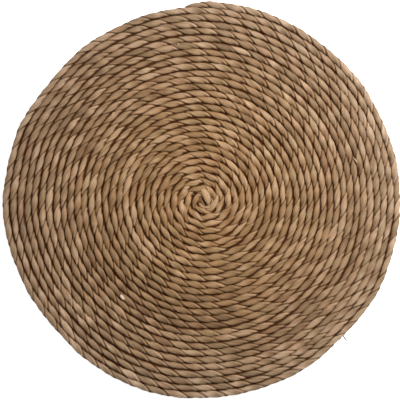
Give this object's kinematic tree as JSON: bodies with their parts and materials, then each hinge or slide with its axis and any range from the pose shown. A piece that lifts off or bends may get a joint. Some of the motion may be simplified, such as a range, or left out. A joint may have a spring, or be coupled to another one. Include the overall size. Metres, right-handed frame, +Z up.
{
  "type": "chair seat pad",
  "caption": "Flat round seat pad of twisted two-ply straw rope, wound as a spiral from a folded start to a tapered tail and sewn through with hidden threads.",
  "frame": {"origin": "centre of the pad's outline, on the face that it lies on", "axes": "+Z up through the pad's thickness; the tail's pointed end is towards +Y, and the rope winds outward anticlockwise seen from +Z"},
  "size_m": [0.4006, 0.404, 0.0076],
  "materials": {
    "straw_rope": "twisted dried straw leaf, tan to khaki, satin",
    "sewing_thread": "waxed cotton thread, undyed, matt"
  },
  "bodies": {
    "root": {"rope_start_fold": "straw_rope", "rope_turn_01": "straw_rope", "rope_turn_02": "straw_rope", "rope_turn_03": "straw_rope", "rope_turn_04": "straw_rope", "rope_turn_05": "straw_rope", "rope_turn_06": "straw_rope", "rope_turn_07": "straw_rope", "rope_turn_08": "straw_rope", "rope_turn_09": "straw_rope", "rope_turn_10": "straw_rope", "rope_turn_11": "straw_rope", "rope_turn_12": "straw_rope", "rope_turn_13": "straw_rope", "rope_turn_14": "straw_rope", "rope_turn_15": "straw_rope", "rope_turn_16": "straw_rope", "rope_turn_17": "straw_rope", "rope_turn_18": "straw_rope", "rope_turn_19": "straw_rope", "rope_turn_20": "straw_rope", "rope_turn_21": "straw_rope", "rope_turn_22": "straw_rope", "rope_turn_23": "straw_rope", "rope_turn_24": "straw_rope", "rope_turn_25": "straw_rope", "rope_turn_26": "straw_rope", "rope_turn_27": "straw_rope", "rope_turn_28": "straw_rope", "rope_tail": "straw_rope", "sewing_thread_1": "sewing_thread", "sewing_thread_2": "sewing_thread", "sewing_thread_3": "sewing_thread", "sewing_thread_4": "sewing_thread", "sewing_thread_5": "sewing_thread", "sewing_thread_6": "sewing_thread"}
  },
  "joints": []
}
